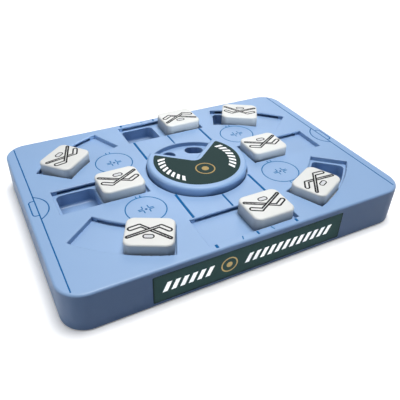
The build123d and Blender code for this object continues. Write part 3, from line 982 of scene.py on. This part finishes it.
# %% The ribbon tree
ribbons, given = new_tree(
    "printed_lines",
    {"Lines": "Geometry", "Line width": "Float", "Ink thickness": "Float", "Ink": "Material"},
)
curves = add(ribbons, "GeometryNodeMeshToCurve", inputs={"Mesh": given["Lines"]})
level_curves = add(
    ribbons, "GeometryNodeSetCurveNormal", {"mode": "Z_UP"}, {"Curve": curves.outputs["Curve"]}
)
flat_profile = add(
    ribbons,
    "GeometryNodeCurvePrimitiveQuadrilateral",
    {"mode": "RECTANGLE"},
    {"Width": given["Line width"], "Height": given["Ink thickness"]},
)
swept_lines = add(
    ribbons,
    "GeometryNodeCurveToMesh",
    inputs={
        "Curve": level_curves.outputs["Curve"],
        "Profile Curve": flat_profile.outputs["Curve"],
        "Fill Caps": True,
    },
)
finish_tree(ribbons, swept_lines.outputs["Mesh"], given["Ink"])

# %% [markdown]
# ## Where the lines run
#
# A rink is the same on both sides of its middle, so each line is given once, in millimetres from
# the board's middle, and mirrored. The blue lines and the centre line run from the wheel's well to
# the edge of the deck and stop at the tracks. The goal lines run across the whole deck, each with
# its crease, which bulges towards the middle, and its net behind it. Fine marks stand beside the
# front and back tracks and round the four circles.

# %% Helpers for chains of points
WHOLE_TURN = 360
LEFT_AND_RIGHT = [(1, 1), (-1, 1)]
BACK_AND_FRONT = [(1, 1), (1, -1)]
ALL_QUARTERS = [(side_x, side_y) for side_x in (1, -1) for side_y in (1, -1)]


def arc(centre, radius, first, last, steps=24):
    """Points on an arc, by its two end angles in degrees."""
    angles = [math.radians(first + (last - first) * i / steps) for i in range(steps + 1)]
    return [(centre[0] + radius * math.cos(a), centre[1] + radius * math.sin(a)) for a in angles]


def mirrored(chains, mirrors=ALL_QUARTERS):
    """Each chain of points, once for each pair of signs."""
    return [[(sx * x, sy * y) for x, y in chain] for chain in chains for sx, sy in mirrors]


print("an arc has", len(arc((0, 0), 1, 0, 90)) - 1, "steps, unless its line says otherwise")

# %% The blue lines and the centre line
BLUE_X = 42.5
WELL_EDGE = 55.8
TRACK_INNER = 77.0
TRACK_OUTER = 119.0
DECK_EDGE = 123.4

blue_start = math.sqrt(WELL_EDGE**2 - BLUE_X**2)
blue_chains = mirrored(
    [
        [(BLUE_X, blue_start), (BLUE_X, TRACK_INNER)],
        [(BLUE_X, TRACK_OUTER), (BLUE_X, DECK_EDGE)],
    ]
)
centre_chains = mirrored(
    [[(0, WELL_EDGE), (0, TRACK_INNER)], [(0, TRACK_OUTER), (0, DECK_EDGE)]], BACK_AND_FRONT
)
print(len(blue_chains), "blue and", len(centre_chains), "centre stretches")

# %% The goal lines, creases and nets
GOAL_X = 169.6
GOAL_END = 118.4
GOAL_WIDTH = 1.2
CREASE_DEPTH = 10.8
HALF_CREASE = 18.5
CREASE_RADIUS = 21.24
NET_DEPTH = 5.7
HALF_NET = 12
NET_CORNER = 3
NET_CORNER_STEPS = 6

goal_line = [(GOAL_X, -GOAL_END), (GOAL_X, GOAL_END)]
crease_sweep = math.degrees(math.asin(HALF_CREASE / CREASE_RADIUS))
crease = arc(
    (GOAL_X - CREASE_DEPTH + CREASE_RADIUS, 0),
    CREASE_RADIUS,
    180 - crease_sweep,
    180 + crease_sweep,
)
net_start = GOAL_X + GOAL_WIDTH / 2
corner_x = GOAL_X + NET_DEPTH - NET_CORNER
corner_y = HALF_NET - NET_CORNER
near_corner = arc((corner_x, -corner_y), NET_CORNER, -90, 0, NET_CORNER_STEPS)
far_corner = arc((corner_x, corner_y), NET_CORNER, 0, 90, NET_CORNER_STEPS)
net = [(net_start, -HALF_NET), *near_corner, *far_corner, (net_start, HALF_NET)]
goal_chains = mirrored([goal_line, crease, net], LEFT_AND_RIGHT)
print(len(goal_chains), "goal lines, creases and nets")

# %% The circles, their dots and the fine marks
CIRCLE_X, CIRCLE_Y = 77.5, 45.7
CIRCLE_RADIUS = 19.8
CIRCLE_STEPS = 72
DOT_RADIUS = 0.65
DOT_STEPS = 16
# one quarter's marks, from the circle's middle: two that make an angle, and one outside the circle
CIRCLE_MARKS = [[(3, 1), (8, 1)], [(3, 1.4), (3, 5.5)], [(2.1, 20.2), (2.1, 23.2)]]
# the mark beside the track at the front or back, which leans a little
TRACK_MARK = [(15.2, TRACK_OUTER), (16.8, DECK_EDGE)]

circle_middles = [(sx * CIRCLE_X, sy * CIRCLE_Y) for sx, sy in ALL_QUARTERS]
fine_chains = mirrored([TRACK_MARK])
for middle_x, middle_y in circle_middles:
    for mark in mirrored(CIRCLE_MARKS):
        fine_chains.append([(middle_x + x, middle_y + y) for x, y in mark])
circles = [arc(middle, CIRCLE_RADIUS, 0, WHOLE_TURN, CIRCLE_STEPS)[:-1] for middle in circle_middles]
dots = [arc(middle, DOT_RADIUS, 0, WHOLE_TURN, DOT_STEPS)[:-1] for middle in circle_middles]
print(len(fine_chains), "fine marks,", len(circles), "circles and", len(dots), "dots")

# %% [markdown]
# ## Ink on the deck
#
# The lines are pad printed: a soft pad picks the ink up from an etched plate and presses it on the
# moulding. Such ink dries to a thin, even film with hardly any grain. A fine line gets less ink
# than a wide one, so more of the pale plastic shines through, and it looks lighter.

# %% The two depths of blue
PAD_INK = {
    "roughness": (0.45, 0.55),
    "ior": 1.5,
    "grain": 0.3 * MM,
    "depth": 0.002 * MM,
    "shine": 0.1,
}

# a full coat of ink: a deep, even blue with little shine, so that it stays dark under the lamps
ink_blue = moulded_plastic("blue_pad_ink", colours=("#0866A4", "#07609A"), **PAD_INK)
# the thinner coat of the fine marks: the same blue, but lighter
thin_blue = moulded_plastic("thin_blue_pad_ink", colours=("#1674B0", "#146EA7"), **PAD_INK)
print(ink_blue.name, "and", thin_blue.name, "are mixed")

# %% Ribbons on the deck
INK_THICKNESS = 0.04

deck_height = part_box("top_shell")[1][2]


def chain_mesh(name, open_chains, closed_chains):
    """Edges through chains of points, at the deck's height."""
    points, edges = [], []
    for closed, chains in ((False, open_chains), (True, closed_chains)):
        for chain in chains:
            first = len(points)
            points += [(x * MM, y * MM, deck_height) for x, y in chain]
            edges += [(first + i, first + i + 1) for i in range(len(chain) - 1)]
            if closed:
                edges.append((len(points) - 1, first))
    mesh = bpy.data.meshes.new(name)
    mesh.from_pydata(points, edges, [])
    return mesh


print_runs = [
    # piece, open lines, closed lines, width, ink
    ("print_blue_lines", blue_chains, [], 2.7, ink_blue),
    ("print_centre_line", centre_chains, [], 2.0, ink_blue),
    ("print_goal_lines", goal_chains, [], GOAL_WIDTH, ink_blue),
    ("print_fine_marks", fine_chains, circles, 1.15, thin_blue),
    ("print_centre_dots", [], dots, 2 * DOT_RADIUS, ink_blue),
]
for name, open_chains, closed_chains, width, ink in print_runs:
    start = chain_mesh(name, open_chains, closed_chains)
    values = {"Line width": width * MM, "Ink thickness": INK_THICKNESS * MM, "Ink": ink}
    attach(grow(name, start, ribbons, values), "board")

# %% [markdown]
# ## Screws
#
# The CAD's screws are plain pins with heads. Real ones have a cross recess, a rounded head and a
# cutting thread. There are 33 of them in three sizes, so one tree makes them all: it takes a
# turned blank, cuts the cross out of its head, winds the thread round the shank, and stands one
# screw on each point. The points and sizes are read from the CAD's own screws, whose meshes are
# merged first, because they come as loose triangles.

# %% The separate screws of a CAD node
SAME_SPOT = 0.001 * MM


def loose_parts(node):
    """Lowest and highest corner of each separate part of a CAD node."""
    merged = bmesh.new()
    merged.from_mesh(node.data)
    bmesh.ops.remove_doubles(merged, verts=merged.verts, dist=SAME_SPOT)
    left, parts = set(merged.verts), []
    while left:
        part = {left.pop()}
        edge_of_part = list(part)
        while edge_of_part:
            for edge in edge_of_part.pop().link_edges:
                for vert in edge.verts:
                    if vert in left:
                        left.remove(vert)
                        part.add(vert)
                        edge_of_part.append(vert)
        corners = [[rule(v.co[axis] for v in part) for axis in range(3)] for rule in (min, max)]
        parts.append((Vector(corners[0]), Vector(corners[1])))
    merged.free()
    return parts


print(len(loose_parts(frame["nodes"]["base_screws"])), "screws hold the base plate")

# %% A turned blank
TURNED_STEPS = 28


def turned_blank(name, head_radius, head_height, root_radius, length):
    """A screw without recess or thread, head down, turned from its outline."""
    outline = [
        # radius and height, from the middle of the rounded head to the point
        (0, 0),
        (head_radius * 0.62, 0),
        (head_radius * 0.84, head_height * 0.08),
        (head_radius * 0.96, head_height * 0.26),
        (head_radius, head_height * 0.5),
        (head_radius, head_height),
        (root_radius, head_height),
        (root_radius, head_height + length * 0.86),
        (0, head_height + length),
    ]
    turned = bmesh.new()
    verts = [turned.verts.new((radius, 0, height)) for radius, height in outline]
    edges = [turned.edges.new(pair) for pair in zip(verts, verts[1:])]
    bmesh.ops.spin(
        turned,
        geom=verts + edges,
        cent=(0, 0, 0),
        axis=(0, 0, 1),
        angle=2 * math.pi,
        steps=TURNED_STEPS,
        use_merge=True,
    )
    bmesh.ops.remove_doubles(turned, verts=turned.verts, dist=SAME_SPOT)
    bmesh.ops.recalc_face_normals(turned, faces=turned.faces)
    mesh = bpy.data.meshes.new(name)
    turned.to_mesh(mesh)
    turned.free()
    blank = bpy.data.objects.new(name, mesh)
    scene.collection.objects.link(blank)
    return blank


# %% The screw tree: its inputs, and the cross cut out of the head
screw_tree, given = new_tree(
    "cross_head_screws",
    {
        "Places": "Geometry",
        "Blank": "Object",
        "Recess length": "Float",
        "Recess width": "Float",
        "Recess depth": "Float",
        "Thread start": "Float",
        "Thread length": "Float",
        "Thread radius": "Float",
        "Thread turns": "Float",
        "Thread depth": "Float",
        "Finish": "Material",
    },
)
blank_mesh = add(screw_tree, "GeometryNodeObjectInfo", inputs={"Object": given["Blank"]})
# each arm is centred on the head's face, so only half of its height cuts into the head
twice_deep = add(
    screw_tree, "ShaderNodeMath", {"operation": "MULTIPLY"}, {0: given["Recess depth"], 1: 2.0}
)
cross = add(screw_tree, "GeometryNodeMeshBoolean", {"operation": "UNION", "solver": "EXACT"})
for x_size, y_size in (("Recess length", "Recess width"), ("Recess width", "Recess length")):
    arm_size = add(
        screw_tree,
        "ShaderNodeCombineXYZ",
        inputs={"X": given[x_size], "Y": given[y_size], "Z": twice_deep.outputs["Value"]},
    )
    arm = add(screw_tree, "GeometryNodeMeshCube", inputs={"Size": arm_size.outputs["Vector"]})
    screw_tree.links.new(arm.outputs["Mesh"], cross.inputs["Mesh 2"])
recessed = add(
    screw_tree,
    "GeometryNodeMeshBoolean",
    {"operation": "DIFFERENCE", "solver": "EXACT"},
    {"Mesh 1": blank_mesh.outputs["Geometry"], "Mesh 2": cross.outputs["Mesh"]},
)
print("the cross is cut with", len(screw_tree.nodes), "nodes")

# %% The screw tree: its thread, and one screw on each point
THREAD_SEGMENTS = 20
RIDGE_CORNERS = 4

helix = add(
    screw_tree,
    "GeometryNodeCurveSpiral",
    inputs={
        "Resolution": THREAD_SEGMENTS,
        "Rotations": given["Thread turns"],
        "Start Radius": given["Thread radius"],
        "End Radius": given["Thread radius"],
        "Height": given["Thread length"],
    },
)
ridge = add(
    screw_tree,
    "GeometryNodeCurvePrimitiveCircle",
    {"mode": "RADIUS"},
    {"Resolution": RIDGE_CORNERS, "Radius": given["Thread depth"]},
)
thread = add(
    screw_tree,
    "GeometryNodeCurveToMesh",
    inputs={
        "Curve": helix.outputs["Curve"],
        "Profile Curve": ridge.outputs["Curve"],
        "Fill Caps": True,
    },
)
thread_place = add(screw_tree, "ShaderNodeCombineXYZ", inputs={"Z": given["Thread start"]})
seated = add(
    screw_tree,
    "GeometryNodeTransform",
    inputs={"Geometry": thread.outputs["Mesh"], "Translation": thread_place.outputs["Vector"]},
)
whole = add(screw_tree, "GeometryNodeJoinGeometry")
for part in (recessed.outputs["Mesh"], seated.outputs["Geometry"]):
    screw_tree.links.new(part, whole.inputs["Geometry"])
stood = add(
    screw_tree,
    "GeometryNodeInstanceOnPoints",
    inputs={"Points": given["Places"], "Instance": whole.outputs["Geometry"]},
)
finish_tree(screw_tree, stood.outputs["Instances"], given["Finish"])

# %% Screws in place of the CAD's plain ones
# shares of the head's radius and height
RECESS_LENGTH, RECESS_WIDTH, RECESS_DEPTH = 1.25, 0.27, 0.55
# shares of the shank's length and radius
THREAD_START, THREAD_LENGTH, THREAD_DEPTH = 0.12, 0.7, 0.2

screw_kinds = [
    # node, body, head height, shank radius, thread turns
    ("base_screws", "board", 1.4, 1.5, 9),
    ("pan_screws", "board", 1.5, 1.1, 5),
    ("wheel_screw", "wheel", 2.2, 1.7, 9),
]
for node_name, body, head_height_mm, shank_radius_mm, turns in screw_kinds:
    parts = loose_parts(frame["nodes"][node_name])
    low, high = parts[0]
    head_height = head_height_mm * MM
    shank_radius = shank_radius_mm * MM
    head_radius = (high.x - low.x) / 2
    length = (high.z - low.z) - head_height
    ridge_depth = shank_radius * THREAD_DEPTH
    thread_radius = shank_radius - ridge_depth
    blank = turned_blank(node_name + "_blank", head_radius, head_height, thread_radius, length)
    places = bpy.data.meshes.new(node_name + "_places")
    places.from_pydata([((lo.x + hi.x) / 2, (lo.y + hi.y) / 2, lo.z) for lo, hi in parts], [], [])
    values = {
        "Blank": blank,
        "Recess length": head_radius * RECESS_LENGTH,
        "Recess width": head_radius * RECESS_WIDTH,
        "Recess depth": head_height * RECESS_DEPTH,
        "Thread start": head_height + length * THREAD_START,
        "Thread length": length * THREAD_LENGTH,
        "Thread radius": thread_radius,
        "Thread turns": float(turns),
        "Thread depth": ridge_depth,
        "Finish": zinc_steel,
    }
    screws = grow(node_name + "_threaded", places, screw_tree, values)
    bpy.data.objects.remove(blank)
    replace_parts(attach(screws, body), node_name)
    head_width = round(2 * head_radius / MM, 1)
    print(len(parts), "screws:", head_width, "mm heads,", round(length / MM, 1), "mm shanks")
